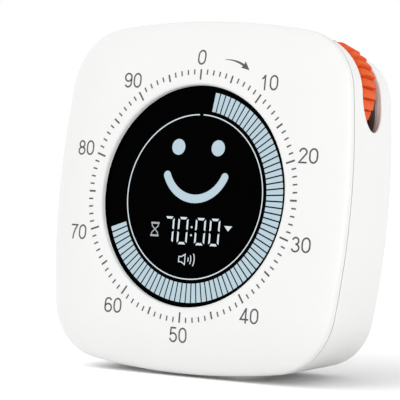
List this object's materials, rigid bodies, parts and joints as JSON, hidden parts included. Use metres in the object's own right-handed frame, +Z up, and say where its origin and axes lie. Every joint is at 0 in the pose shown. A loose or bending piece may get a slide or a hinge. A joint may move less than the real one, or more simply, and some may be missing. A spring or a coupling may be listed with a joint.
{
  "type": "pomodoro timer",
  "caption": "Leaning rounded-square desk timer with a round recessed display, a printed minute dial and a toothed thumbwheel in its upper corner that sets the time.",
  "frame": {"origin": "middle of the foot pad's flat underside, on the surface that the timer stands on", "axes": "+Z up, the face looks towards -Y and leans back, +X to the right as seen by the user"},
  "size_m": [0.08, 0.0356, 0.0799],
  "materials": {
    "shell_white": "satin moulded ABS",
    "pad_rubber": "matte moulded silicone rubber",
    "tape_black": "die-cut foam tape",
    "window_black": "black-tinted acrylic",
    "lcd_glass": "laminated display glass",
    "light_guide": "frosted acrylic",
    "strip_rubber": "layered elastomer",
    "led_white": "moulded package",
    "frame_white": "moulded ABS",
    "board_green": "solder mask",
    "screw_steel": "zinc plated",
    "chip_black": "moulded epoxy",
    "encoder_black": "moulded nylon",
    "cell_foil": "laminated foil pouch",
    "connector_white": "moulded nylon",
    "lead_red": "PVC insulation",
    "usb_steel": "drawn stainless steel",
    "tongue_black": "moulded nylon",
    "wheel_orange": "satin moulded ABS",
    "shaft_steel": "ground steel",
    "switch_steel": "stamped steel",
    "control_grey": "moulded ABS",
    "ribbon_white": "flat flexible cable"
  },
  "bodies": {
    "casing": {"front_shell": "shell_white", "rear_shell": "shell_white", "foot_pad": "pad_rubber", "window_tape": "tape_black", "display_window": "window_black", "lcd_panel": "lcd_glass", "lcd_frame": "frame_white", "backlight_panel": "light_guide", "contact_strips": "strip_rubber", "backlight_leds": "led_white", "main_board": "board_green", "board_screws": "screw_steel", "case_screws": "screw_steel", "switch_board_screws": "screw_steel", "controller_chip": "chip_black", "encoder_body": "encoder_black", "buzzer": "encoder_black", "battery_tape": "tape_black", "battery_cell": "cell_foil", "battery_connector": "connector_white", "battery_leads": "lead_red", "usb_shell": "usb_steel", "usb_tongue": "tongue_black", "switch_board": "board_green", "slide_switch": "switch_steel", "tact_switch": "switch_steel", "ribbon_cable": "ribbon_white"},
    "thumbwheel": {"thumbwheel": "wheel_orange", "encoder_shaft": "shaft_steel", "retaining_ring": "shaft_steel"},
    "mode_button": {"mode_button": "control_grey", "tact_plunger": "tongue_black"},
    "volume_slider": {"volume_slider": "control_grey", "switch_nub": "tongue_black"}
  },
  "joints": [
    {"name": "thumbwheel_turn", "type": "hinge", "parent": "casing", "child": "thumbwheel", "pos_m": [0.02559, 0.00893, 0.06408], "axis": [0, -0.9903, 0.1392], "continuous": true},
    {"name": "mode_press", "type": "slide", "parent": "casing", "child": "mode_button", "axis": [0, -0.9903, 0.1392], "range_m": [0, 0.0005], "stiffness_N_per_m": 3000},
    {"name": "volume_slide", "type": "slide", "parent": "casing", "child": "volume_slider", "axis": [1, 0, 0], "range_m": [-0.002, 0.002]}
  ]
}
